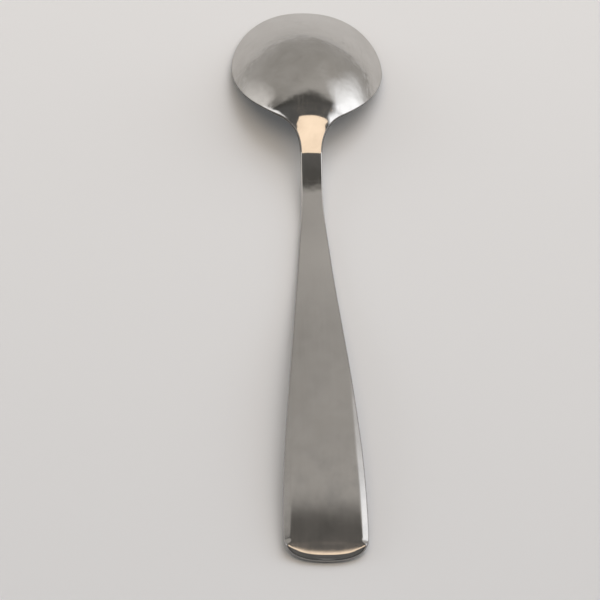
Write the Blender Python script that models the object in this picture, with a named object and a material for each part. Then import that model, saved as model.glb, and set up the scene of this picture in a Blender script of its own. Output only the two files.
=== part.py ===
"""A youth spoon that lies face down: the bowl, neck and handle of one stamped steel blank.

Units are metres and +Z is up. The spoon lies along Y, with the tip of its bowl at +Y and the end of
its handle at -Y, and it is symmetric about X = 0. The table that it rests on is Z = 0, and the origin
is on the table under the middle of the spoon. A station is a distance from the tip along the spoon.
"""

import math

import bmesh
import bpy

# Plan view of the bowl
OVERALL_LENGTH = 0.1490
BOWL_WIDTH = 0.0317
BOWL_TIP_LENGTH = 0.0200
BOWL_HEEL_LENGTH = 0.0218
TIP_SQUARENESS = 2.18
HEEL_SQUARENESS = 1.77
SHOULDER_RADIUS = 0.0108

# Plan view of the stem
NECK_WIDTH = 0.0045
NECK_LENGTH = 0.0091
HANDLE_WIDTH = 0.0157
FLARE_DELAY = 0.0034
FLARE_SETBACK = 0.0170
FLARE_EASE_AT_NECK = 0.0003
FLARE_EASE_AT_END = 0.0010
END_CORNER_LENGTH = 0.0050
END_SQUARENESS = 2.5

# Dish of the bowl
BOWL_WALL = 0.0011
RIM_WIDTH = 0.0010
RIM_ROUNDING = 0.0006

# Side view: the back along the spoon's middle, above the table
CREST_DELAY = 0.0093
CREST_HEIGHT = 0.0119
CREST_SPREAD = 0.0178
RAMP_LENGTH = 0.0065
RAMP_EASE = 0.00008
RAMP_FOOT_HEIGHT = 0.00565

# Thickness of the stem and the rounding of its edges
NECK_THICKNESS = 0.0021
END_THICKNESS = 0.0012
STEM_CROWN = 0.00025
STEM_ROUNDING = 0.0003
END_ROUNDING = 0.0005
EDGE_TURN_LENGTH = 0.0195
EDGE_GROWTH_LENGTH = 0.0141

# Side view: heights of the underside above the table
RIM_RISE = 0.0093
RIM_FLAT_LENGTH = 0.0064
RIM_CURVE_POWER = 1.9
HEEL_ROUNDING = 0.0070
LAND_DELAY = 0.0100
LAND_LENGTH = 0.0060
ARCH_HEIGHT = 0.0038
ARCH_SETBACK = 0.0345
END_CURVE_POWER = 2.6
END_HEIGHT = 0.0002

# Mesh density
TIP_STEPS = 14
HEEL_STEPS = 10
SHOULDER_STEPS = 8
NECK_STEPS = 4
DESCENT_STEPS = 6
HANDLE_STEPS = 24
END_STEPS = 12
ARCH_STEPS = 16
EDGE_POINTS = 3
BISECTION_STEPS = 60
MERGE_DISTANCE = 1e-7
SHARP_ANGLE = math.radians(50.0)

# Colour, roughness and metallic value of each sub-part's steel
FINISHES = {
    "bowl": ((0.62, 0.60, 0.58), 0.18, 1.0),
    "neck": ((0.62, 0.60, 0.57), 0.12, 1.0),
    "handle": ((0.58, 0.56, 0.54), 0.34, 1.0),
}

QUARTER_TURN = math.pi / 2.0
HALF_BOWL = BOWL_WIDTH / 2.0
HALF_NECK = NECK_WIDTH / 2.0
HALF_HANDLE = HANDLE_WIDTH / 2.0
HEEL = BOWL_TIP_LENGTH + BOWL_HEEL_LENGTH


def blend_max(first, second, width):
    """The larger of two values, with a rounded changeover of the given width."""
    overlap = max(width - abs(first - second), 0.0) / width
    return max(first, second) + overlap ** 2 * width / 4.0


def blend_min(first, second, width):
    """The smaller of two values, with a rounded changeover of the given width."""
    return -blend_max(-first, -second, width)


def ease(value, start, end):
    """0 before start, 1 after end, and a smooth step between them."""
    share = min(max((value - start) / (end - start), 0.0), 1.0)
    return share * share * (3.0 - 2.0 * share)


def heel_oval(angle):
    """A point on the heel half of the bowl's oval, and the outward normal there."""
    across = max(math.sin(angle), 0.0) ** (2.0 / HEEL_SQUARENESS)
    along = max(math.cos(angle), 0.0) ** (2.0 / HEEL_SQUARENESS)
    point = (HALF_BOWL * across, BOWL_TIP_LENGTH + BOWL_HEEL_LENGTH * along)
    slant = HEEL_SQUARENESS - 1.0
    normal = (across ** slant / HALF_BOWL, along ** slant / BOWL_HEEL_LENGTH)
    size = math.hypot(*normal)
    return point, (normal[0] / size, normal[1] / size)


def fit_shoulder():
    """The oval angle where the shoulder arc touches the oval, and the arc's centre."""
    low, high = 0.0, QUARTER_TURN
    for _ in range(BISECTION_STEPS):
        middle = (low + high) / 2.0
        point, normal = heel_oval(middle)
        if point[0] + SHOULDER_RADIUS * normal[0] > HALF_NECK + SHOULDER_RADIUS:
            high = middle
        else:
            low = middle
    point, normal = heel_oval(low)
    centre = (point[0] + SHOULDER_RADIUS * normal[0], point[1] + SHOULDER_RADIUS * normal[1])
    return low, normal, centre


SHOULDER_ANGLE, SHOULDER_NORMAL, SHOULDER_CENTRE = fit_shoulder()
NECK_START = SHOULDER_CENTRE[1]
NECK_END = NECK_START + NECK_LENGTH
FLARE_START = NECK_END + FLARE_DELAY
FLARE_END = OVERALL_LENGTH - FLARE_SETBACK
LAND_START = NECK_END + LAND_DELAY
LAND_END = LAND_START + LAND_LENGTH
ARCH_TOP = OVERALL_LENGTH - ARCH_SETBACK
END_START = OVERALL_LENGTH - END_CORNER_LENGTH
CREST = BOWL_TIP_LENGTH + CREST_DELAY
RAMP_START = NECK_START - RAMP_LENGTH
RAMP_MIDDLE = NECK_START - RAMP_LENGTH / 2.0


def handle_half_width(station):
    """Half the handle's width: parallel at the neck, a straight flare, then parallel at the end."""
    slope = (HALF_HANDLE - HALF_NECK) / (FLARE_END - FLARE_START)
    flare = HALF_NECK + slope * (station - FLARE_START)
    widened = blend_max(HALF_NECK, flare, FLARE_EASE_AT_NECK)
    return blend_min(widened, HALF_HANDLE, FLARE_EASE_AT_END)


def between(start, end, steps):
    """Evenly spaced values after start, up to and including end."""
    return [start + (end - start) * step / steps for step in range(1, steps + 1)]


def plan_outline():
    """The right-hand outline from tip to end as (x, station) points, cut into the three zones."""
    bowl = [(0.0, 0.0)]
    tip_power = 2.0 / TIP_SQUARENESS
    for angle in between(0.0, QUARTER_TURN, TIP_STEPS):
        reach = max(math.cos(angle), 0.0) ** tip_power
        bowl.append((HALF_BOWL * math.sin(angle) ** tip_power, BOWL_TIP_LENGTH * (1.0 - reach)))
    for angle in between(QUARTER_TURN, SHOULDER_ANGLE, HEEL_STEPS):
        bowl.append(heel_oval(angle)[0])
    arc_start = math.atan2(SHOULDER_NORMAL[1], SHOULDER_NORMAL[0])
    for angle in between(arc_start, 0.0, SHOULDER_STEPS):
        x = SHOULDER_CENTRE[0] - SHOULDER_RADIUS * math.cos(angle)
        bowl.append((x, SHOULDER_CENTRE[1] - SHOULDER_RADIUS * math.sin(angle)))
    neck = [(HALF_NECK, station) for station in between(NECK_START, NECK_END, NECK_STEPS)]
    stations = between(NECK_END, LAND_START, DESCENT_STEPS)
    stations.append(LAND_END)
    stations += between(LAND_END, END_START, HANDLE_STEPS)
    handle = [(handle_half_width(station), station) for station in stations]
    end_power = 2.0 / END_SQUARENESS
    half_end = handle[-1][0]
    for angle in between(0.0, QUARTER_TURN, END_STEPS):
        reach = math.sin(angle) ** end_power
        x = half_end * max(math.cos(angle), 0.0) ** end_power
        handle.append((x, END_START + END_CORNER_LENGTH * reach))
    handle[-1] = (0.0, OVERALL_LENGTH)
    return bowl, neck, handle


def stem_crown(station):
    """Rise of the stem's back over its edges, in step with the stem's width."""
    return STEM_CROWN * handle_half_width(station) / HALF_HANDLE


def edge_thickness(station):
    """Width of the rim, growing into the thickness of the stem's edges."""
    growth = ease(station, NECK_START - EDGE_GROWTH_LENGTH, NECK_START)
    thinning = max(station - NECK_END, 0.0) / (OVERALL_LENGTH - NECK_END)
    stem = NECK_THICKNESS + (END_THICKNESS - NECK_THICKNESS) * thinning
    return RIM_WIDTH + (stem - RIM_WIDTH) * growth


def dome(station):
    """Height of the bowl's back along its middle: a hyperbola from the rim's tip over the crest."""
    steepness = (CREST_HEIGHT - RIM_ROUNDING) / (math.hypot(CREST, CREST_SPREAD) - CREST_SPREAD)
    return CREST_HEIGHT - steepness * (math.hypot(station - CREST, CREST_SPREAD) - CREST_SPREAD)


def ramp(station):
    """Height of the straight slope on the back between the heel and the neck."""
    start_height = dome(RAMP_START)
    return start_height + (RAMP_FOOT_HEIGHT - start_height) * (station - RAMP_START) / RAMP_LENGTH


def descent(station):
    """Height of the back from the ramp's foot along the neck: a parabola that levels out at the land."""
    land_height = edge_thickness(LAND_START) + stem_crown(LAND_START)
    share = (LAND_START - station) / (LAND_START - NECK_START)
    parabola = land_height + (RAMP_FOOT_HEIGHT - land_height) * share * share
    return blend_max(ramp(station), parabola, RAMP_EASE)


def underside(station):
    """Height of the rim or of the stem's underside above the table."""
    if station <= LAND_START:
        rim_share = max(station - RIM_FLAT_LENGTH, 0.0) / (HEEL - RIM_FLAT_LENGTH)
        rim = RIM_RISE * rim_share ** RIM_CURVE_POWER
        stem = descent(station) - edge_thickness(station) - stem_crown(station)
        return blend_min(rim, stem, HEEL_ROUNDING)
    if station <= LAND_END:
        return 0.0
    if station <= ARCH_TOP:
        return ARCH_HEIGHT * ease(station, LAND_END, ARCH_TOP)
    fall = (station - ARCH_TOP) / ARCH_SETBACK
    return ARCH_HEIGHT - (ARCH_HEIGHT - END_HEIGHT) * fall ** END_CURVE_POWER


def back_height(station):
    """Height of the back along the spoon's middle, from the tip to the land."""
    if station < RAMP_MIDDLE:
        return blend_min(dome(station), ramp(station), RAMP_EASE)
    return descent(station)


def back_rise(edge_height, half_width, station):
    """Rise of the back's arch over its edges."""
    if station < LAND_START:
        return back_height(station) - edge_height
    return STEM_CROWN * half_width / HALF_HANDLE


def front_rise(rise):
    """Rise of the front's arch over its edges: a wall inside the bowl's back, and a flat stem."""
    return blend_max(rise - BOWL_WALL, 0.0, BOWL_WALL)


def arch(edge, rise):
    """Points on a parabola across the spoon, from its left edge over the given rise to its right edge."""
    points = []
    for step in range(ARCH_STEPS + 1):
        across = math.sin(math.pi * step / ARCH_STEPS - QUARTER_TURN)
        points.append((edge[0] * across, edge[1], edge[2] + rise * (1.0 - across ** 2)))
    return points


def section(point, normal):
    """One closed loop round the spoon: the back, the right edge, the front and the left edge.

    The edge faces down along the bowl's rim. It turns to face sideways along the stem.
    """
    half_width, station = point
    turn = QUARTER_TURN * ease(station, NECK_START - EDGE_TURN_LENGTH, NECK_START)
    flat, upright = math.cos(turn), math.sin(turn)
    half_edge = edge_thickness(station) / 2.0
    rounding = RIM_ROUNDING + (STEM_ROUNDING - RIM_ROUNDING) * upright
    rounding += (END_ROUNDING - STEM_ROUNDING) * ease(station, END_START, OVERALL_LENGTH)
    inset = math.hypot(half_edge * flat, rounding * upright)
    lift = math.hypot(half_edge * upright, rounding * flat)
    centre_x = half_width - inset * normal[0]
    centre_station = station - inset * normal[1]
    centre_height = underside(centre_station) + lift

    def edge_point(angle):
        """A point on the edge's half ellipse, from the back at 0 to the front at half a turn."""
        along = half_edge * math.cos(angle)
        proud = rounding * math.sin(angle)
        outward = along * flat + proud * upright
        x = centre_x + outward * normal[0]
        y = OVERALL_LENGTH / 2.0 - (centre_station + outward * normal[1])
        return (x, y, centre_height + along * upright - proud * flat)

    back_edge = edge_point(0.0)
    rise = back_rise(back_edge[2], half_width, OVERALL_LENGTH / 2.0 - back_edge[1])
    back = arch(back_edge, rise)
    front = arch(edge_point(math.pi), front_rise(rise))
    right = [edge_point(math.pi * step / (EDGE_POINTS + 1)) for step in range(1, EDGE_POINTS + 1)]
    left = [(-x, y, z) for x, y, z in reversed(right)]
    return back + right + front[::-1] + left


def outline_normals(outline, cuts):
    """Outward plan normals of the outline. The stem's sides are parallel where the zones are cut."""
    first, last = outline[1], outline[-2]
    padded = [(-first[0], first[1])] + outline + [(-last[0], last[1])]
    normals = []
    for index in range(len(outline)):
        before, after = padded[index], padded[index + 2]
        run = (after[0] - before[0], after[1] - before[1])
        size = math.hypot(*run)
        normals.append((run[1] / size, -run[0] / size))
    for index in cuts:
        normals[index] = (1.0, 0.0)
    return normals


def steel(name):
    """The sub-part's own Principled material."""
    colour, roughness, metallic = FINISHES[name]
    material = bpy.data.materials.new(name + "_steel")
    material.use_nodes = True
    shader = material.node_tree.nodes["Principled BSDF"]
    shader.inputs["Base Color"].default_value = (*colour, 1.0)
    shader.inputs["Roughness"].default_value = roughness
    shader.inputs["Metallic"].default_value = metallic
    material.diffuse_color = (*colour, 1.0)
    return material


def cap(bm, ring):
    """Closes a cut: strips from the back to the front, and the two rounded edges beside them."""
    front_start = ARCH_STEPS + 1 + EDGE_POINTS
    back = ring[:ARCH_STEPS + 1]
    right = ring[ARCH_STEPS + 1:front_start]
    front = ring[front_start:front_start + ARCH_STEPS + 1][::-1]
    left = ring[front_start + ARCH_STEPS + 1:]
    for step in range(ARCH_STEPS):
        bm.faces.new((back[step], back[step + 1], front[step + 1], front[step]))
    bm.faces.new([back[-1]] + right + [front[-1]])
    bm.faces.new([front[0]] + left + [back[0]])


def make_zone(name, loops, cut_at_start, cut_at_end, parent):
    """Lofts one sub-part through its loops. An end without a cut closes to a point by merging."""
    bm = bmesh.new()
    rings = [[bm.verts.new(point) for point in loop] for loop in loops]
    for ring, following in zip(rings, rings[1:]):
        for index in range(len(ring)):
            after = (index + 1) % len(ring)
            bm.faces.new((ring[index], ring[after], following[after], following[index]))
    if cut_at_start:
        cap(bm, rings[0])
    if cut_at_end:
        cap(bm, rings[-1])
    bmesh.ops.remove_doubles(bm, verts=bm.verts[:], dist=MERGE_DISTANCE)
    bmesh.ops.recalc_face_normals(bm, faces=bm.faces[:])
    mesh = bpy.data.meshes.new(name)
    bm.to_mesh(mesh)
    bm.free()
    mesh.shade_smooth()
    mesh.set_sharp_from_angle(angle=SHARP_ANGLE)
    mesh.materials.append(steel(name))
    zone = bpy.data.objects.new(name, mesh)
    zone.parent = parent
    bpy.context.scene.collection.objects.link(zone)


def main():
    for leftover in list(bpy.data.objects):
        bpy.data.objects.remove(leftover, do_unlink=True)
    spoon = bpy.data.objects.new("spoon", None)
    bpy.context.scene.collection.objects.link(spoon)
    bowl, neck, handle = plan_outline()
    outline = bowl + neck + handle
    bowl_cut = len(bowl) - 1
    neck_cut = bowl_cut + len(neck)
    normals = outline_normals(outline, (bowl_cut, neck_cut))
    loops = [section(point, normal) for point, normal in zip(outline, normals)]
    make_zone("bowl", loops[:bowl_cut + 1], False, True, spoon)
    make_zone("neck", loops[bowl_cut:neck_cut + 1], True, True, spoon)
    make_zone("handle", loops[neck_cut:], True, False, spoon)


main()
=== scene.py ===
"""Looks for the youth spoon: a fine skin over each solid, worn steel with a painted sheen and
painted edge shade, soft light and the camera.

Units are metres. The spoon lies face down along Y, with its bowl's tip at +Y, and the table is
Z = 0. A station is a distance from the tip along the spoon. The skin repeats the solids' own sizes
and formulas with finer steps, and adds the rolled edges at the handle's end.
"""

import math
from collections import namedtuple

import bmesh
import bpy
import numpy as np
from mathutils import Matrix, Vector


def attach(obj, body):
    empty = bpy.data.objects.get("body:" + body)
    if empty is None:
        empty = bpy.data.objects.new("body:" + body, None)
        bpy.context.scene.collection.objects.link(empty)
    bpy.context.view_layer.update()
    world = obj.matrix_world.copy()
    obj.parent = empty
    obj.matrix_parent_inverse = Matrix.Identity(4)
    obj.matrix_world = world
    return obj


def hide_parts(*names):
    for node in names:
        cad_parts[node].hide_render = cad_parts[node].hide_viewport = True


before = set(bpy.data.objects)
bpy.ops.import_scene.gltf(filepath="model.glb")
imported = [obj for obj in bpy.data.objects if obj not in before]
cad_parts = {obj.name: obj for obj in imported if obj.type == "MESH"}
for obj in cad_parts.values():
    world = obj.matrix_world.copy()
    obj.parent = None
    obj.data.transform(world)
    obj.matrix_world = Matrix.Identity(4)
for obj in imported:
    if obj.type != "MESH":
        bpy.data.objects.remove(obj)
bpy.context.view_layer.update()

# Plan view, as in the solids
OVERALL_LENGTH = 0.1490
BOWL_WIDTH = 0.0317
BOWL_TIP_LENGTH = 0.0200
BOWL_HEEL_LENGTH = 0.0218
TIP_SQUARENESS = 2.18
HEEL_SQUARENESS = 1.77
SHOULDER_RADIUS = 0.0108
NECK_WIDTH = 0.0045
NECK_LENGTH = 0.0091
HANDLE_WIDTH = 0.0157
FLARE_DELAY = 0.0034
FLARE_SETBACK = 0.0170
FLARE_EASE_AT_NECK = 0.0003
FLARE_EASE_AT_END = 0.0010
END_CORNER_LENGTH = 0.0050
END_SQUARENESS = 2.5

# Side view, as in the solids
BOWL_WALL = 0.0011
RIM_WIDTH = 0.0010
RIM_ROUNDING = 0.0006
CREST_DELAY = 0.0093
CREST_HEIGHT = 0.0119
CREST_SPREAD = 0.0178
RAMP_LENGTH = 0.0065
RAMP_EASE = 0.00008
RAMP_FOOT_HEIGHT = 0.00565
NECK_THICKNESS = 0.0021
END_THICKNESS = 0.0012
STEM_CROWN = 0.00025
STEM_ROUNDING = 0.0003
END_ROUNDING = 0.0005
EDGE_TURN_LENGTH = 0.0195
EDGE_GROWTH_LENGTH = 0.0141
RIM_RISE = 0.0093
RIM_FLAT_LENGTH = 0.0064
RIM_CURVE_POWER = 1.9
HEEL_ROUNDING = 0.0070
LAND_DELAY = 0.0100
LAND_LENGTH = 0.0060
ARCH_HEIGHT = 0.0038
ARCH_SETBACK = 0.0345
END_CURVE_POWER = 2.6
END_HEIGHT = 0.0002

# The rolled edge of the handle's end: its widths along the sides and across the end, the distances
# from the end at which it starts, is full, narrows, is gone and is back, and its slope
ROLL_SIDE_WIDTH = 0.00115
ROLL_END_WIDTH = 0.0006
ROLL_START_SETBACK = 0.0500
ROLL_FULL_SETBACK = 0.0200
ROLL_CORNER_START = 0.0041
ROLL_CORNER_END = 0.0026
ROLL_END_SETBACK = 0.0014
ROLL_SLOPE = math.tan(math.radians(24.0))
ROLL_EASE = 0.00012

# Fineness of the skin
TIP_STEPS = 48
HEEL_STEPS = 36
SHOULDER_STEPS = 32
NECK_STEPS = 24
DESCENT_STEPS = 24
LAND_STEPS = 6
HANDLE_STEPS = 110
END_STEPS = 48
ARCH_STEPS = 56
EDGE_POINTS = 11
BISECTION_STEPS = 60
SLOPE_PASSES = 6

# The distance within which points are one, and the smallest divisors
MERGE_DISTANCE = 1e-7
SMALLEST_SQUARE = 1e-18
SMALLEST_NORMAL = 1e-20

# The lengthwise map's step from ring to ring, and how fast the edge wear and the painted edge shade
# fall off
UV_RING_STEP = 0.01
EDGE_WEAR_AND_SHADE_POWER = 12

QUARTER_TURN = math.pi / 2.0
HALF_LENGTH = OVERALL_LENGTH / 2.0
HALF_BOWL = BOWL_WIDTH / 2.0
HALF_NECK = NECK_WIDTH / 2.0
HALF_HANDLE = HANDLE_WIDTH / 2.0
HEEL = BOWL_TIP_LENGTH + BOWL_HEEL_LENGTH


def blend_max(first, second, width):
    """The larger of two values, with a rounded changeover of the given width."""
    overlap = max(width - abs(first - second), 0.0) / width
    return max(first, second) + overlap ** 2 * width / 4.0


def blend_min(first, second, width):
    """The smaller of two values, with a rounded changeover of the given width."""
    return -blend_max(-first, -second, width)


def ease(value, start, end):
    """0 before start, 1 after end, and a smooth step between them."""
    share = min(max((value - start) / (end - start), 0.0), 1.0)
    return share * share * (3.0 - 2.0 * share)


def heel_oval(angle):
    """A point on the heel half of the bowl's oval, and the outward normal there."""
    across = max(math.sin(angle), 0.0) ** (2.0 / HEEL_SQUARENESS)
    along = max(math.cos(angle), 0.0) ** (2.0 / HEEL_SQUARENESS)
    point = (HALF_BOWL * across, BOWL_TIP_LENGTH + BOWL_HEEL_LENGTH * along)
    slant = HEEL_SQUARENESS - 1.0
    normal = (across ** slant / HALF_BOWL, along ** slant / BOWL_HEEL_LENGTH)
    size = math.hypot(*normal)
    return point, (normal[0] / size, normal[1] / size)


def fit_shoulder():
    """The oval angle where the shoulder arc touches the oval, and the arc's centre."""
    low, high = 0.0, QUARTER_TURN
    for _ in range(BISECTION_STEPS):
        middle = (low + high) / 2.0
        point, normal = heel_oval(middle)
        if point[0] + SHOULDER_RADIUS * normal[0] > HALF_NECK + SHOULDER_RADIUS:
            high = middle
        else:
            low = middle
    point, normal = heel_oval(low)
    centre = (point[0] + SHOULDER_RADIUS * normal[0], point[1] + SHOULDER_RADIUS * normal[1])
    return low, normal, centre


SHOULDER_ANGLE, SHOULDER_NORMAL, SHOULDER_CENTRE = fit_shoulder()
NECK_START = SHOULDER_CENTRE[1]
NECK_END = NECK_START + NECK_LENGTH
FLARE_START = NECK_END + FLARE_DELAY
FLARE_END = OVERALL_LENGTH - FLARE_SETBACK
LAND_START = NECK_END + LAND_DELAY
LAND_END = LAND_START + LAND_LENGTH
ARCH_TOP = OVERALL_LENGTH - ARCH_SETBACK
END_START = OVERALL_LENGTH - END_CORNER_LENGTH
CREST = BOWL_TIP_LENGTH + CREST_DELAY
RAMP_START = NECK_START - RAMP_LENGTH
RAMP_MIDDLE = NECK_START - RAMP_LENGTH / 2.0


def handle_half_width(station):
    """Half the handle's width: parallel at the neck, a straight flare, then parallel at the end."""
    slope = (HALF_HANDLE - HALF_NECK) / (FLARE_END - FLARE_START)
    flare = HALF_NECK + slope * (station - FLARE_START)
    widened = blend_max(HALF_NECK, flare, FLARE_EASE_AT_NECK)
    return blend_min(widened, HALF_HANDLE, FLARE_EASE_AT_END)


def between(start, end, steps):
    """Evenly spaced values after start, up to and including end."""
    return [start + (end - start) * step / steps for step in range(1, steps + 1)]


def plan_outline():
    """The right-hand outline from tip to end as (x, station) points, cut into the three zones."""
    bowl = [(0.0, 0.0)]
    tip_power = 2.0 / TIP_SQUARENESS
    for angle in between(0.0, QUARTER_TURN, TIP_STEPS):
        reach = max(math.cos(angle), 0.0) ** tip_power
        bowl.append((HALF_BOWL * math.sin(angle) ** tip_power, BOWL_TIP_LENGTH * (1.0 - reach)))
    for angle in between(QUARTER_TURN, SHOULDER_ANGLE, HEEL_STEPS):
        bowl.append(heel_oval(angle)[0])
    arc_start = math.atan2(SHOULDER_NORMAL[1], SHOULDER_NORMAL[0])
    for angle in between(arc_start, 0.0, SHOULDER_STEPS):
        x = SHOULDER_CENTRE[0] - SHOULDER_RADIUS * math.cos(angle)
        bowl.append((x, SHOULDER_CENTRE[1] - SHOULDER_RADIUS * math.sin(angle)))
    neck = [(HALF_NECK, station) for station in between(NECK_START, NECK_END, NECK_STEPS)]
    stations = between(NECK_END, LAND_START, DESCENT_STEPS)
    stations += between(LAND_START, LAND_END, LAND_STEPS)
    stations += between(LAND_END, END_START, HANDLE_STEPS)
    handle = [(handle_half_width(station), station) for station in stations]
    end_power = 2.0 / END_SQUARENESS
    half_end = handle[-1][0]
    for angle in between(0.0, QUARTER_TURN, END_STEPS):
        reach = math.sin(angle) ** end_power
        x = half_end * max(math.cos(angle), 0.0) ** end_power
        handle.append((x, END_START + END_CORNER_LENGTH * reach))
    handle[-1] = (0.0, OVERALL_LENGTH)
    return bowl, neck, handle


def outline_normals(outline, cuts):
    """Outward plan normals of the outline. They point straight sideways at the cuts."""
    first, last = outline[1], outline[-2]
    padded = [(-first[0], first[1])] + outline + [(-last[0], last[1])]
    normals = []
    for index in range(len(outline)):
        before, after = padded[index], padded[index + 2]
        run = (after[0] - before[0], after[1] - before[1])
        size = math.hypot(*run)
        normals.append((run[1] / size, -run[0] / size))
    for index in cuts:
        normals[index] = (1.0, 0.0)
    return normals


def stem_crown(station):
    """Rise of the stem's back over its edges, in step with the stem's width."""
    return STEM_CROWN * handle_half_width(station) / HALF_HANDLE


def edge_thickness(station):
    """Width of the rim, growing into the thickness of the stem's edges."""
    growth = ease(station, NECK_START - EDGE_GROWTH_LENGTH, NECK_START)
    thinning = max(station - NECK_END, 0.0) / (OVERALL_LENGTH - NECK_END)
    stem = NECK_THICKNESS + (END_THICKNESS - NECK_THICKNESS) * thinning
    return RIM_WIDTH + (stem - RIM_WIDTH) * growth


def dome(station):
    """Height of the bowl's back along its middle: a hyperbola from the rim's tip over the crest."""
    steepness = (CREST_HEIGHT - RIM_ROUNDING) / (math.hypot(CREST, CREST_SPREAD) - CREST_SPREAD)
    return CREST_HEIGHT - steepness * (math.hypot(station - CREST, CREST_SPREAD) - CREST_SPREAD)


def ramp(station):
    """Height of the straight slope on the back between the heel and the neck."""
    start_height = dome(RAMP_START)
    return start_height + (RAMP_FOOT_HEIGHT - start_height) * (station - RAMP_START) / RAMP_LENGTH


def descent(station):
    """Height of the back from the ramp along the neck: a parabola that levels out at the land."""
    land_height = edge_thickness(LAND_START) + stem_crown(LAND_START)
    share = (LAND_START - station) / (LAND_START - NECK_START)
    parabola = land_height + (RAMP_FOOT_HEIGHT - land_height) * share * share
    return blend_max(ramp(station), parabola, RAMP_EASE)


def underside(station):
    """Height of the rim or of the stem's underside above the table."""
    if station <= LAND_START:
        rim_share = max(station - RIM_FLAT_LENGTH, 0.0) / (HEEL - RIM_FLAT_LENGTH)
        rim = RIM_RISE * rim_share ** RIM_CURVE_POWER
        stem = descent(station) - edge_thickness(station) - stem_crown(station)
        return blend_min(rim, stem, HEEL_ROUNDING)
    if station <= LAND_END:
        return 0.0
    if station <= ARCH_TOP:
        return ARCH_HEIGHT * ease(station, LAND_END, ARCH_TOP)
    fall = (station - ARCH_TOP) / ARCH_SETBACK
    return ARCH_HEIGHT - (ARCH_HEIGHT - END_HEIGHT) * fall ** END_CURVE_POWER


def back_height(station):
    """Height of the back along the spoon's middle."""
    if station < RAMP_MIDDLE:
        return blend_min(dome(station), ramp(station), RAMP_EASE)
    if station < LAND_START:
        return descent(station)
    return underside(station) + edge_thickness(station) + stem_crown(station)


def roll_width(station):
    """Width of the rolled edge: wide at the sides, narrow at the end and none in the corners."""
    corner_end = OVERALL_LENGTH - ROLL_CORNER_END
    growth = ease(station, OVERALL_LENGTH - ROLL_START_SETBACK, OVERALL_LENGTH - ROLL_FULL_SETBACK)
    narrowing = ease(station, OVERALL_LENGTH - ROLL_CORNER_START, corner_end)
    return_at_end = ease(station, corner_end, OVERALL_LENGTH - ROLL_END_SETBACK)
    return growth * (ROLL_SIDE_WIDTH * (1.0 - narrowing) + ROLL_END_WIDTH * return_at_end)


class Ring:
    """One loop round the spoon. Its edge faces down along the bowl's rim, sideways on the stem."""

    def __init__(self, point, normal):
        self.half_width, self.station = point
        self.normal = normal
        turn = QUARTER_TURN * ease(self.station, NECK_START - EDGE_TURN_LENGTH, NECK_START)
        self.flat, self.upright = math.cos(turn), math.sin(turn)
        self.roll = roll_width(self.station)
        self.roll_drop = self.roll * ROLL_SLOPE
        self.half_edge = (edge_thickness(self.station) - self.roll_drop) / 2.0
        self.rounding = RIM_ROUNDING + (STEM_ROUNDING - RIM_ROUNDING) * self.upright
        at_end = ease(self.station, END_START, OVERALL_LENGTH)
        self.rounding += (END_ROUNDING - STEM_ROUNDING) * at_end
        inset = math.hypot(self.half_edge * self.flat, self.rounding * self.upright)
        lift = math.hypot(self.half_edge * self.upright, self.rounding * self.flat)
        self.centre_x = self.half_width - inset * normal[0]
        self.centre_station = self.station - inset * normal[1]
        self.centre_height = underside(self.centre_station) + lift
        self.start = 0.0
        for _ in range(SLOPE_PASSES):
            self.match_slope()

    def edge_point(self, angle):
        """(x, station, height) on the edge's half ellipse: 0 is at the back, pi at the front."""
        along = self.half_edge * math.cos(angle)
        proud = self.rounding * math.sin(angle)
        outward = along * self.flat + proud * self.upright
        x = self.centre_x + outward * self.normal[0]
        station = self.centre_station + outward * self.normal[1]
        return x, station, self.centre_height + along * self.upright - proud * self.flat

    def match_slope(self):
        """Starts the edge where its slope meets the back's, so that no groove shows on the stem."""
        self.back_edge = self.edge_point(self.start)
        x, station, height = self.back_edge
        if self.station < END_START:
            self.rise = back_height(station) - height - self.roll_drop
        else:
            lowered = self.half_edge * (1.0 - math.cos(self.start))
            self.rise = (STEM_CROWN + lowered) * self.half_width / HALF_HANDLE
        across = 2.0 * self.rise / max(x, HALF_NECK) * self.normal[0]
        along = 0.0
        if self.station > END_START:
            fall = (underside(END_START) - underside(OVERALL_LENGTH)) / END_CORNER_LENGTH
            along = fall * self.normal[1]
        rolled = ROLL_SLOPE * min(self.roll / ROLL_END_WIDTH, 1.0)
        slope = max(across + along + rolled, 0.0)
        self.start = self.upright ** 2 * math.atan(slope * self.rounding / self.half_edge)

    def front_rise(self):
        """Rise of the front's arch: a wall inside the bowl's back, and a flat stem."""
        lowered = self.half_edge * self.upright * (1.0 - math.cos(self.start))
        return blend_max(self.rise + self.roll_drop - lowered - BOWL_WALL, 0.0, BOWL_WALL)


ARCH_ACROSS = [
    math.sin(math.pi * step / ARCH_STEPS - QUARTER_TURN) for step in range(ARCH_STEPS + 1)
]


def edge_distances(points, path):
    """Plan distances from each point to a path of points."""
    starts, ends = path[:-1], path[1:]
    run = ends - starts
    reach = points[:, None, :] - starts[None, :, :]
    length = np.maximum((run * run).sum(axis=1), SMALLEST_SQUARE)
    share = np.clip((reach * run).sum(axis=2) / length, 0.0, 1.0)
    gap = reach - share[..., None] * run
    return np.sqrt((gap * gap).sum(axis=2)).min(axis=1)


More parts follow.
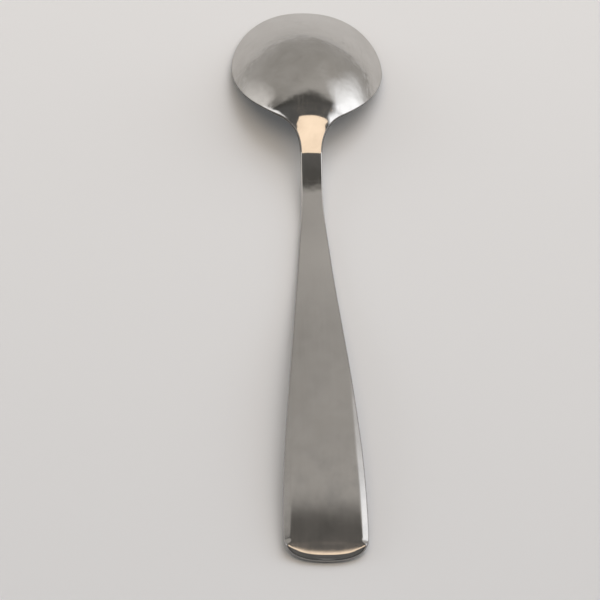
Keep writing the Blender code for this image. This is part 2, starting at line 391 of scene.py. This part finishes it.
def ring_points(ring, edge_path):
    """The ring's points: the back, the right edge, the front and the left edge."""
    x, station, height = ring.back_edge
    back = [[x * a, station, height + ring.rise * (1.0 - a * a)] for a in ARCH_ACROSS]
    if ring.roll > 0.0:
        plan = np.array([[abs(point[0]), station] for point in back])
        for point, distance in zip(back, edge_distances(plan, edge_path)):
            into_roll = blend_max(ring.roll - distance, 0.0, ROLL_EASE)
            point[2] += ring.roll_drop - min(into_roll, ring.roll) * ROLL_SLOPE
    x, station, height = ring.edge_point(math.pi)
    rise = ring.front_rise()
    front = [[x * a, station, height + rise * (1.0 - a * a)] for a in ARCH_ACROSS]
    sweep = (math.pi - ring.start) / (EDGE_POINTS + 1)
    right = [ring.edge_point(ring.start + sweep * step) for step in range(1, EDGE_POINTS + 1)]
    left = [(-px, ps, pz) for px, ps, pz in reversed(right)]
    return [(px, HALF_LENGTH - ps, pz) for px, ps, pz in back + right + front[::-1] + left]


def wear_and_shade_weights():
    """How exposed each point of a ring is: 1 on the edges, less across the back and the front."""
    arch = [abs(a) ** EDGE_WEAR_AND_SHADE_POWER for a in ARCH_ACROSS]
    edge = [1.0] * EDGE_POINTS
    return arch + edge + arch + edge


def cap_faces(ring):
    """Faces that close a cut: strips from the back to the front, and the rounded edges."""
    front_start = ARCH_STEPS + 1 + EDGE_POINTS
    back = ring[:ARCH_STEPS + 1]
    right = ring[ARCH_STEPS + 1:front_start]
    front = ring[front_start:front_start + ARCH_STEPS + 1][::-1]
    left = ring[front_start + ARCH_STEPS + 1:]
    strips = [[back[i], back[i + 1], front[i + 1], front[i]] for i in range(ARCH_STEPS)]
    return strips + [[back[-1]] + right + [front[-1]], [front[0]] + left + [back[0]]]


def smooth_normals(loops):
    """Normals of the whole skin at every point, so that no shading seam shows at the cuts."""
    points = np.array(loops)
    rows, size = points.shape[:2]
    after = np.roll(points, -1, axis=1)
    normals = np.zeros_like(points)
    for row in range(rows - 1):
        first, second = points[row], after[row]
        fourth, third = points[row + 1], after[row + 1]
        face = np.cross(third - first, fourth - second)
        normals[row] += face + np.roll(face, 1, axis=0)
        normals[row + 1] += face + np.roll(face, 1, axis=0)
    for pole in (0, rows - 1):
        for index in range(size):
            gaps = np.linalg.norm(points[pole] - points[pole, index], axis=1)
            normals[pole, index] = normals[pole][gaps < MERGE_DISTANCE].sum(axis=0)
    outward = normals[:, ARCH_STEPS // 2, 2].sum()
    normals *= math.copysign(1.0, outward)
    lengths = np.linalg.norm(normals, axis=2, keepdims=True)
    return normals / np.maximum(lengths, SMALLEST_NORMAL)


def make_skin(name, node, material, part, loops, normals):
    """Lofts one part of the skin, a slice of all the loops, and lets it stand for its CAD node."""
    bm = bmesh.new()
    wear_and_shade_layer = bm.verts.layers.float.new("edge_wear_and_shade")
    uv_layer = bm.loops.layers.uv.new("lengthwise")
    normal_layer = bm.loops.layers.float_vector.new("skin_normal")
    weights = wear_and_shade_weights()
    size = len(weights)
    part_normals = normals[part]
    rings = []
    for points in loops[part]:
        ring = [bm.verts.new(point) for point in points]
        for vert, weight in zip(ring, weights):
            vert[wear_and_shade_layer] = weight
        rings.append(ring)
    for row in range(len(rings) - 1):
        for index in range(size):
            after = (index + 1) % size
            corners = ((row, index), (row, after), (row + 1, after), (row + 1, index))
            face = bm.faces.new([rings[r][i] for r, i in corners])
            for loop, (r, i), step in zip(face.loops, corners, (0, 1, 1, 0)):
                loop[uv_layer].uv = ((index + step) / size, (part.start + r) * UV_RING_STEP)
                loop[normal_layer] = Vector(part_normals[r][i])
    caps = []
    if part.start > 0:
        caps += [bm.faces.new(corners) for corners in cap_faces(rings[0])]
    if part.stop < len(loops):
        caps += [bm.faces.new(corners) for corners in cap_faces(rings[-1])]
    bmesh.ops.recalc_face_normals(bm, faces=bm.faces[:])
    for face in caps:
        for loop in face.loops:
            loop[normal_layer] = face.normal
    bmesh.ops.remove_doubles(bm, verts=bm.verts[:], dist=MERGE_DISTANCE)
    mesh = bpy.data.meshes.new(name)
    bm.to_mesh(mesh)
    bm.free()
    mesh.shade_smooth()
    stored = mesh.attributes["skin_normal"].data
    mesh.normals_split_custom_set([Vector(item.vector) for item in stored])
    mesh.attributes.remove(mesh.attributes["skin_normal"])
    mesh.materials.append(material)
    piece = bpy.data.objects.new(name, mesh)
    bpy.context.scene.collection.objects.link(piece)
    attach(piece, "root")
    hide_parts(node)


# Sockets of the Mix node when it mixes colours
MIX_FACTOR = 0
MIX_COLOURS = (6, 7)
MIX_RESULT = 2


class Nodes:
    """A small helper that adds nodes to a tree and links them."""

    def __init__(self, tree):
        self.tree = tree
        self.tree.nodes.clear()

    def add(self, kind, **settings):
        """A new node with the given settings."""
        node = self.tree.nodes.new(kind)
        for key, value in settings.items():
            setattr(node, key, value)
        return node

    def link(self, output, socket):
        """Links an output to an input socket."""
        self.tree.links.new(output, socket)

    def coordinates(self, scale):
        """Object coordinates, stretched by a scale on each axis."""
        place = self.add("ShaderNodeTexCoord")
        mapping = self.add("ShaderNodeMapping")
        mapping.inputs["Scale"].default_value = scale
        self.link(place.outputs["Object"], mapping.inputs["Vector"])
        return mapping.outputs["Vector"]

    def noise(self, scale, detail=3.0, roughness=0.55, distortion=0.0):
        """Grey noise about 0.5 in object space."""
        node = self.add("ShaderNodeTexNoise")
        node.inputs["Scale"].default_value = 1.0
        node.inputs["Detail"].default_value = detail
        node.inputs["Roughness"].default_value = roughness
        node.inputs["Distortion"].default_value = distortion
        self.link(self.coordinates(scale), node.inputs["Vector"])
        return node.outputs["Fac"]

    def axes(self):
        """Object coordinates as separate X, Y and Z outputs."""
        parts = self.add("ShaderNodeSeparateXYZ")
        self.link(self.coordinates((1.0, 1.0, 1.0)), parts.inputs["Vector"])
        return parts.outputs

    def spread(self, value, source, target):
        """Maps a range of values to another range, held at its ends."""
        node = self.add("ShaderNodeMapRange")
        node.inputs["From Min"].default_value, node.inputs["From Max"].default_value = source
        node.inputs["To Min"].default_value, node.inputs["To Max"].default_value = target
        self.link(value, node.inputs["Value"])
        return node.outputs["Result"]

    def math(self, operation, first, second):
        """An operation on two values, each an output or a plain number."""
        node = self.add("ShaderNodeMath", operation=operation)
        for socket, value in zip(node.inputs, (first, second)):
            if isinstance(value, float):
                socket.default_value = value
            else:
                self.link(value, socket)
        return node.outputs["Value"]

    def mix(self, factor, first, second):
        """Mixes two colours by a factor. Each colour is an output or a plain tuple."""
        node = self.add("ShaderNodeMix", data_type="RGBA")
        self.link(factor, node.inputs[MIX_FACTOR])
        for index, value in zip(MIX_COLOURS, (first, second)):
            if isinstance(value, tuple):
                node.inputs[index].default_value = (*value, 1.0)
            else:
                self.link(value, node.inputs[index])
        return node.outputs[MIX_RESULT]

    def bump(self, height, distance, strength, under=None):
        """A bumped normal, on top of another one if it is given."""
        node = self.add("ShaderNodeBump")
        node.inputs["Distance"].default_value = distance
        node.inputs["Strength"].default_value = strength
        self.link(height, node.inputs["Height"])
        if under is not None:
            self.link(under, node.inputs["Normal"])
        return node.outputs["Normal"]


# Ranges that the looks share: most of a noise's values, and a share that rises or falls
NOISE_BAND = (0.30, 0.70)
RISING = (0.0, 1.0)
FALLING = (1.0, 0.0)

# Noise fields on the steel, with scales in waves per metre along X, Y and Z
POLISH_SMUDGE = dict(scale=(150.0, 120.0, 150.0), detail=4.0, roughness=0.6, distortion=0.6)
POLISH_STAIN = dict(scale=(340.0, 300.0, 340.0), detail=3.0, roughness=0.5)
POLISH_WAVES = dict(scale=(220.0, 180.0, 220.0), detail=2.0)
HAIRLINES = dict(scale=(2600.0, 90.0, 900.0), detail=1.0, roughness=0.4)
CROSS_LINES = dict(scale=(110.0, 2400.0, 900.0), detail=1.0, roughness=0.4)
SATIN_BRUSH = dict(scale=(2600.0, 22.0, 0.0), detail=3.0, roughness=0.6)
SATIN_SMUDGE = dict(scale=(120.0, 90.0, 120.0), detail=4.0, roughness=0.6, distortion=0.5)
SATIN_STAIN = dict(scale=(260.0, 190.0, 260.0), detail=3.0)
SATIN_WAVES = dict(scale=(130.0, 90.0, 130.0), detail=2.0)

# Parts of a noise's range, or of the edge wear's, over which a mark grows from nothing to full. The
# edge shade band is where painted shade darkens the narrow edges
POLISH_STAIN_BAND = (0.60, 0.74)
POLISH_DULL_BAND = (0.35, 0.70)
HAIRLINE_BAND = (0.60, 0.72)
CROSS_LINE_BAND = (0.62, 0.74)
SATIN_STAIN_BAND = (0.45, 0.72)
EDGE_SHADE_BAND = (0.93, 1.0)

# Ranges of Y, along the spoon, in which a finish, the painted sheen or the painted edge shade
# changes
BOWL_WEAR_ZONE = (0.0330, 0.0460)
NECK_POLISH_ZONE = (0.0130, 0.0175)
EDGE_SHADE_ZONE = (0.006, 0.0175)
SHEEN_FALL_ZONE = (0.004, 0.0165)
SHEEN_RISE_ZONE = (-0.022, 0.0)
SATIN_STAIN_ZONE = (-0.062, -0.046)
END_POLISH_ZONE = (-0.0640, -0.0540)

# Colours of the steel, with a painted sheen and painted edge shade, and the shares in which they
# are mixed in
POLISH_TONES = ((0.490, 0.472, 0.446), (0.590, 0.572, 0.548))
POLISH_STAIN_TONE = (0.36, 0.345, 0.325)
POLISH_STAIN_SHARE = (0.0, 0.20)
BOWL_EDGE_SHADE_TONE = (0.17, 0.163, 0.155)
NECK_EDGE_TONE = (0.66, 0.645, 0.625)
NECK_EDGE_SHARE = 0.20
SATIN_TONES = ((0.490, 0.472, 0.449), (0.543, 0.525, 0.503))
SATIN_BRUSH_TONE = (0.590, 0.569, 0.543)
SATIN_BRUSH_SHARE = (0.0, 0.25)
SATIN_STAIN_TONE = (0.33, 0.325, 0.320)
SATIN_STAIN_SHARE = (0.40, 0.12)
SATIN_SHEEN_TONE = (0.76, 0.735, 0.705)
SATIN_SHEEN_SHARE = (0.0, 0.45)
SATIN_EDGE_SHADE_TONE = (0.31, 0.300, 0.290)

# Roughness of the steel, and what raises or lowers it
BOWL_ROUGHNESS = (0.075, 0.14)
NECK_ROUGHNESS = 0.075
POLISH_DULLING = (-0.03, 0.07)
LINE_DULLING = 0.05
SATIN_ROUGHNESS = (0.185, 0.235)
SATIN_BRUSH_DULLING = (-0.015, 0.015)
NECK_POLISH = (0.0, 0.11)
END_POLISH = (0.03, 0.0)
EDGE_POLISH = 0.02
SATIN_ANISOTROPY = 0.6
FILM_WEIGHT = 0.7
FILM_ROUGHNESS = 0.45

# Distance and strength of the bumps
POLISH_WAVE_BUMP = (0.00014, 0.6)
LINE_BUMP = (0.000002, 0.35)
SATIN_WAVE_BUMP = (0.00012, 0.5)
SATIN_BRUSH_BUMP = (0.000003, 0.25)


def new_material(name):
    """A new material, its nodes, and its shader linked to the output."""
    material = bpy.data.materials.new(name)
    material.use_nodes = True
    nodes = Nodes(material.node_tree)
    shader = nodes.add("ShaderNodeBsdfPrincipled")
    output = nodes.add("ShaderNodeOutputMaterial")
    nodes.link(shader.outputs["BSDF"], output.inputs["Surface"])
    return material, nodes, shader


def new_steel(name, anisotropic):
    """A new bare metal, whose highlights are drawn out by the brushing where it is anisotropic."""
    material, nodes, shader = new_material(name)
    shader.inputs["Metallic"].default_value = 1.0
    shader.inputs["Anisotropic"].default_value = anisotropic
    if anisotropic > 0.0:
        tangent = nodes.add("ShaderNodeTangent", direction_type="UV_MAP", uv_map="lengthwise")
        nodes.link(tangent.outputs["Tangent"], shader.inputs["Tangent"])
    return material, nodes, shader


def dull_film(shader):
    """A thin film left by handling, which veils the dark reflections."""
    shader.inputs["Coat Weight"].default_value = FILM_WEIGHT
    shader.inputs["Coat Roughness"].default_value = FILM_ROUGHNESS


def edge_wear_and_shade(nodes):
    """How exposed the surface is, from the skin's own weights: for edge wear, and as the mask of
    the painted edge shade.
    """
    return nodes.add("ShaderNodeAttribute", attribute_name="edge_wear_and_shade").outputs["Fac"]


def painted_edge_shade(nodes):
    """Mask for the painted edge shade: 1 on the narrow edge of the metal, and 0 on the back and the
    front.
    """
    return nodes.spread(edge_wear_and_shade(nodes), EDGE_SHADE_BAND, RISING)


def polished_steel(name, is_bowl):
    """Mirror polish, scuffed by use: smudges, stains, hairline scratches and slight waves.

    The bowl is duller towards its tip and has painted shade on its cut edges. The neck has
    brighter edges and a thin film.
    """
    material, nodes, shader = new_steel(name, anisotropic=0.0)
    smudge = nodes.noise(**POLISH_SMUDGE)
    stain = nodes.spread(nodes.noise(**POLISH_STAIN), POLISH_STAIN_BAND, POLISH_STAIN_SHARE)
    tone = nodes.mix(nodes.spread(smudge, NOISE_BAND, RISING), *POLISH_TONES)
    tone = nodes.mix(stain, tone, POLISH_STAIN_TONE)
    hairlines = nodes.spread(nodes.noise(**HAIRLINES), HAIRLINE_BAND, RISING)
    crosswise = nodes.spread(nodes.noise(**CROSS_LINES), CROSS_LINE_BAND, RISING)
    lines = nodes.math("MAXIMUM", hairlines, crosswise)
    rough = nodes.spread(smudge, POLISH_DULL_BAND, POLISH_DULLING)
    rough = nodes.math("ADD", rough, nodes.math("MULTIPLY", lines, LINE_DULLING))
    if is_bowl:
        # painted shade: the bowl's narrow cut edges are darkened
        tone = nodes.mix(painted_edge_shade(nodes), tone, BOWL_EDGE_SHADE_TONE)
        base = nodes.spread(nodes.axes()["Y"], BOWL_WEAR_ZONE, BOWL_ROUGHNESS)
    else:
        worn = nodes.math("MULTIPLY", edge_wear_and_shade(nodes), NECK_EDGE_SHARE)
        tone = nodes.mix(worn, tone, NECK_EDGE_TONE)
        base = NECK_ROUGHNESS
        dull_film(shader)
    nodes.link(tone, shader.inputs["Base Color"])
    nodes.link(nodes.math("ADD", rough, base), shader.inputs["Roughness"])
    waves = nodes.bump(nodes.noise(**POLISH_WAVES), *POLISH_WAVE_BUMP)
    nodes.link(nodes.bump(lines, *LINE_BUMP, under=waves), shader.inputs["Normal"])
    return material


def satin_steel(name):
    """Satin finish, brushed along the handle: smudges, stains, slight waves and painted shade on
    the cut edges.

    It has a painted sheen past the neck, is more stained at the end, and is smoother at both.
    """
    material, nodes, shader = new_steel(name, anisotropic=SATIN_ANISOTROPY)
    dull_film(shader)
    along = nodes.axes()["Y"]
    brush = nodes.noise(**SATIN_BRUSH)
    smudge = nodes.noise(**SATIN_SMUDGE)
    tone = nodes.mix(nodes.spread(smudge, NOISE_BAND, RISING), *SATIN_TONES)
    tone = nodes.mix(nodes.spread(brush, NOISE_BAND, SATIN_BRUSH_SHARE), tone, SATIN_BRUSH_TONE)
    stain = nodes.spread(nodes.noise(**SATIN_STAIN), SATIN_STAIN_BAND, RISING)
    stain_share = nodes.spread(along, SATIN_STAIN_ZONE, SATIN_STAIN_SHARE)
    tone = nodes.mix(nodes.math("MULTIPLY", stain, stain_share), tone, SATIN_STAIN_TONE)
    # painted sheen: a lighter band on the handle just past the neck
    painted_sheen = nodes.spread(along, SHEEN_RISE_ZONE, SATIN_SHEEN_SHARE)
    painted_sheen = nodes.math("MULTIPLY", painted_sheen, nodes.spread(along, SHEEN_FALL_ZONE, FALLING))
    tone = nodes.mix(painted_sheen, tone, SATIN_SHEEN_TONE)
    # painted shade: the handle's narrow cut edges are darkened past the neck
    edge = nodes.math("MULTIPLY", painted_edge_shade(nodes), nodes.spread(along, EDGE_SHADE_ZONE, FALLING))
    tone = nodes.mix(edge, tone, SATIN_EDGE_SHADE_TONE)
    nodes.link(tone, shader.inputs["Base Color"])
    rough = nodes.spread(smudge, NOISE_BAND, SATIN_ROUGHNESS)
    rough = nodes.math("ADD", rough, nodes.spread(brush, NOISE_BAND, SATIN_BRUSH_DULLING))
    rough = nodes.math("SUBTRACT", rough, nodes.spread(along, NECK_POLISH_ZONE, NECK_POLISH))
    rough = nodes.math("SUBTRACT", rough, nodes.spread(along, END_POLISH_ZONE, END_POLISH))
    rough = nodes.math("SUBTRACT", rough, nodes.math("MULTIPLY", edge_wear_and_shade(nodes), EDGE_POLISH))
    nodes.link(rough, shader.inputs["Roughness"])
    waves = nodes.bump(nodes.noise(**SATIN_WAVES), *SATIN_WAVE_BUMP)
    nodes.link(nodes.bump(brush, *SATIN_BRUSH_BUMP, under=waves), shader.inputs["Normal"])
    return material


def build_spoon():
    """The three pieces of the skin."""
    bowl, neck, handle = plan_outline()
    outline = bowl + neck + handle
    bowl_cut = len(bowl) - 1
    neck_cut = bowl_cut + len(neck)
    normals = outline_normals(outline, (bowl_cut, neck_cut))
    rings = [Ring(point, normal) for point, normal in zip(outline, normals)]
    edge_path = np.array([ring.back_edge[:2] for ring in rings if ring.station >= LAND_END])
    loops = [ring_points(ring, edge_path) for ring in rings]
    shading = smooth_normals(loops)
    make_skin("bowl_skin", "bowl", polished_steel("worn_polish_edge_shade", True),
              slice(0, bowl_cut + 1), loops, shading)
    make_skin("neck_skin", "neck", polished_steel("bright_polish", False),
              slice(bowl_cut, neck_cut + 1), loops, shading)
    make_skin("handle_skin", "handle", satin_steel("brushed_satin_sheen_edge_shade"),
              slice(neck_cut, len(loops)), loops, shading)


# The photo's camera, found from the spoon's outline, for a 600 x 600 picture
PICTURE_SIZE = 600.0
FOCAL_PIXELS = 2986.5
CAMERA_AZIMUTH = math.radians(-4.004)
CAMERA_ELEVATION = math.radians(47.248)
CAMERA_ROLL = math.radians(3.339)
CAMERA_DISTANCE = 0.58814
CAMERA_TARGET = Vector((-0.003086, -0.009093, 0.0))
SENSOR_WIDTH = 36.0
CLIP_START = 0.01


def build_camera():
    """The camera at the photo's angle, rolled as the photo is."""
    flat = math.cos(CAMERA_ELEVATION)
    back = Vector((math.sin(CAMERA_AZIMUTH) * flat, -math.cos(CAMERA_AZIMUTH) * flat,
                   math.sin(CAMERA_ELEVATION)))
    level_right = (-back).cross(Vector((0.0, 0.0, 1.0))).normalized()
    level_up = level_right.cross(-back)
    right = math.cos(CAMERA_ROLL) * level_right + math.sin(CAMERA_ROLL) * level_up
    up = math.cos(CAMERA_ROLL) * level_up - math.sin(CAMERA_ROLL) * level_right
    data = bpy.data.cameras.new("camera")
    data.sensor_fit = "HORIZONTAL"
    data.sensor_width = SENSOR_WIDTH
    data.lens = SENSOR_WIDTH * FOCAL_PIXELS / PICTURE_SIZE
    data.clip_start = CLIP_START
    camera = bpy.data.objects.new("camera", data)
    place = Matrix((right, up, back)).transposed().to_4x4()
    place.translation = CAMERA_TARGET + CAMERA_DISTANCE * back
    camera.matrix_world = place
    bpy.context.scene.collection.objects.link(camera)
    bpy.context.scene.camera = camera


# The table top: half its side, its finish, and its tone by Y from near to far, with painted shade
# near the viewer
FLOOR_REACH = 4.0
FLOOR_STEPS = 8
FLOOR_ROUGHNESS = 0.6
FLOOR_SPECULAR = 0.2
FLOOR_ZONE = (-0.09, 0.09)
FLOOR_SHADED_TONES = ((0.742, 0.772, 0.802), (0.858, 0.883, 0.903))


def build_floor():
    """A plain pale table top, with painted shade that makes it a little darker towards the viewer.
    """
    bm = bmesh.new()
    bmesh.ops.create_grid(bm, x_segments=FLOOR_STEPS, y_segments=FLOOR_STEPS, size=FLOOR_REACH)
    mesh = bpy.data.meshes.new("floor")
    bm.to_mesh(mesh)
    bm.free()
    material, nodes, shader = new_material("pale_table")
    shader.inputs["Roughness"].default_value = FLOOR_ROUGHNESS
    shader.inputs["Specular IOR Level"].default_value = FLOOR_SPECULAR
    # painted shade: the table top darkens towards the viewer
    away = nodes.spread(nodes.axes()["Y"], FLOOR_ZONE, RISING)
    nodes.link(nodes.mix(away, *FLOOR_SHADED_TONES), shader.inputs["Base Color"])
    mesh.materials.append(material)
    floor = bpy.data.objects.new("floor", mesh)
    bpy.context.scene.collection.objects.link(floor)


# The warm ceiling light: the degrees that it spans, counted as for the room, its place and its size
WARM_SPAN = (89.0, 118.0)
WARM_DISTANCE = 3.0
WARM_OFFSET = 0.65
WARM_WIDTH = 5.02
WARM_BRIGHTNESS = 1.55
WARM_COLOUR = (1.0, 0.79, 0.585)

# The fill light, a square on the window's side
FILL_PLACE = (0.85, 1.52, 2.45)
FILL_WIDTH = 2.2
FILL_BRIGHTNESS = 1.75
FILL_COLOUR = (0.97, 1.0, 1.08)


def softbox(name, place, aim, width, height, brightness, colour):
    """A rectangular lamp of even brightness, where 1 is white in a mirror."""
    data = bpy.data.lights.new(name, "AREA")
    data.shape = "RECTANGLE"
    data.size = width
    data.size_y = height
    data.energy = brightness * math.pi * width * height
    data.color = colour
    lamp = bpy.data.objects.new(name, data)
    lamp.location = place
    lamp.rotation_euler = (Vector(aim) - Vector(place)).to_track_quat("-Z", "Y").to_euler()
    lamp.visible_camera = False
    bpy.context.scene.collection.objects.link(lamp)
    return lamp


def build_light():
    """A warm ceiling light over the viewer, and a fill light that no metal shows."""
    low, high = (math.radians(degrees) for degrees in WARM_SPAN)
    middle = (low + high) / 2.0
    height = 2.0 * WARM_DISTANCE * math.tan((high - low) / 2.0)
    place = (WARM_OFFSET, WARM_DISTANCE * math.cos(middle), WARM_DISTANCE * math.sin(middle))
    softbox("warm_ceiling", place, (WARM_OFFSET, 0.0, 0.0), WARM_WIDTH, height,
            WARM_BRIGHTNESS, WARM_COLOUR)
    fill = softbox("window_fill", FILL_PLACE, (0.0, 0.0, 0.0), FILL_WIDTH, FILL_WIDTH,
                   FILL_BRIGHTNESS, FILL_COLOUR)
    fill.visible_glossy = False


# The room's tone by the degrees from the far horizon, over the top, to the viewer's horizon
ROOM_SPAN = 180.0
ROOM_TONES = (
    (0.0, (0.475, 0.460, 0.440)),
    (35.0, (0.470, 0.453, 0.430)),
    (54.0, (0.490, 0.472, 0.448)),
    (62.0, (0.560, 0.540, 0.515)),
    (67.0, (0.590, 0.570, 0.545)),
    (72.0, (0.092, 0.089, 0.083)),
    (76.0, (0.100, 0.098, 0.094)),
    (80.0, (0.118, 0.117, 0.115)),
    (86.0, (0.140, 0.139, 0.137)),
    (118.0, (0.150, 0.150, 0.150)),
    (180.0, (0.140, 0.140, 0.140)),
)

# A soft patch of light or shade in the room. Its share is spread over a range of X across the room,
# and it fades in and out over two ranges of degrees
Patch = namedtuple("Patch", "colour across share fade_in fade_out")
RIGHT_WALL = Patch((0.62, 0.600, 0.575), (-0.05, 0.40), (0.0, 0.5), (20.0, 34.0), (56.0, 64.0))
LEFT_WALL = Patch((0.48, 0.463, 0.441), (-0.50, -0.15), FALLING, (44.0, 56.0), (67.0, 72.0))
LEFT_CORNER = Patch((0.29, 0.280, 0.268), (-0.72, -0.62), FALLING, (56.0, 66.0), (69.0, 73.0))
LEFT_GLOW = Patch((1.06, 1.04, 1.02), (-0.84, -0.67), FALLING, (-2.0, 10.0), (50.0, 60.0))

# The strip light at the left. Its range across is counted from its edge, whose X changes with
# the degrees
LEFT_STRIP = Patch((1.65, 1.65, 1.68), (-0.01, 0.012), FALLING, (45.0, 52.0), (108.0, 116.0))
LEFT_STRIP_EDGE = ((80.0, 88.0), (-0.845, -0.807))

# The window at the right. Its range across runs from 0 at its dim edge to 1 at its bright edge.
# The X of an edge is a sum of parts, each a range of degrees and the range of X that it maps to
WINDOW = Patch((1.80, 1.84, 1.92), (0.0, 1.0), RISING, (5.0, 20.0), (100.0, 112.0))
WINDOW_LEAN = ((76.0, 96.0), (0.0, 0.11))
WINDOW_DIM_EDGE = (((37.0, 52.0), (0.60, 0.44)), ((62.0, 70.0), (0.0, 0.20)), WINDOW_LEAN)
WINDOW_BRIGHT_EDGE = (((14.0, 34.0), (1.0, 0.83)), ((62.0, 70.0), (0.0, -0.07)), WINDOW_LEAN)


def room_ramp(nodes, degrees):
    """The room's tone before the patches. A new stop may lie anywhere until it is placed."""
    node = nodes.add("ShaderNodeValToRGB")
    stops = node.color_ramp.elements
    while len(stops) < len(ROOM_TONES):
        stops.new(0.5)
    for stop, (place, colour) in zip(stops, ROOM_TONES):
        stop.position = place / ROOM_SPAN
        stop.color = (*colour, 1.0)
    nodes.link(nodes.spread(degrees, (0.0, ROOM_SPAN), RISING), node.inputs["Fac"])
    return node.outputs["Color"]


def build_world():
    """A plain room: a grey far wall, a dark ceiling, a window at the right, light at the left."""
    world = bpy.data.worlds.new("room")
    bpy.context.scene.world = world
    world.use_nodes = True
    nodes = Nodes(world.node_tree)
    place = nodes.add("ShaderNodeTexCoord")
    parts = nodes.add("ShaderNodeSeparateXYZ")
    nodes.link(place.outputs["Generated"], parts.inputs["Vector"])
    rightward = parts.outputs["X"]
    angle = nodes.math("ARCTAN2", parts.outputs["Z"], parts.outputs["Y"])
    degrees = nodes.math("MULTIPLY", angle, ROOM_SPAN / math.pi)

    def window_edge(ranges):
        """X of one edge of the window."""
        total = nodes.spread(degrees, *ranges[0])
        for source, target in ranges[1:]:
            total = nodes.math("ADD", total, nodes.spread(degrees, source, target))
        return total

    past_strip = nodes.math("SUBTRACT", rightward, nodes.spread(degrees, *LEFT_STRIP_EDGE))
    dim_edge = window_edge(WINDOW_DIM_EDGE)
    bright_edge = window_edge(WINDOW_BRIGHT_EDGE)
    in_window = nodes.math("DIVIDE", nodes.math("SUBTRACT", rightward, dim_edge),
                           nodes.math("SUBTRACT", bright_edge, dim_edge))
    patches = [(rightward, patch) for patch in (RIGHT_WALL, LEFT_WALL, LEFT_CORNER, LEFT_GLOW)]
    patches += [(past_strip, LEFT_STRIP), (in_window, WINDOW)]
    tone = room_ramp(nodes, degrees)
    for distance, patch in patches:
        fade = nodes.math("MULTIPLY", nodes.spread(degrees, patch.fade_in, RISING),
                          nodes.spread(degrees, patch.fade_out, FALLING))
        share = nodes.math("MULTIPLY", nodes.spread(distance, patch.across, patch.share), fade)
        tone = nodes.mix(share, tone, patch.colour)
    background = nodes.add("ShaderNodeBackground")
    nodes.link(tone, background.inputs["Color"])
    output = nodes.add("ShaderNodeOutputWorld")
    nodes.link(background.outputs["Background"], output.inputs["Surface"])


build_spoon()
build_camera()
build_floor()
build_light()
build_world()
bpy.context.scene.view_settings.view_transform = "Standard"
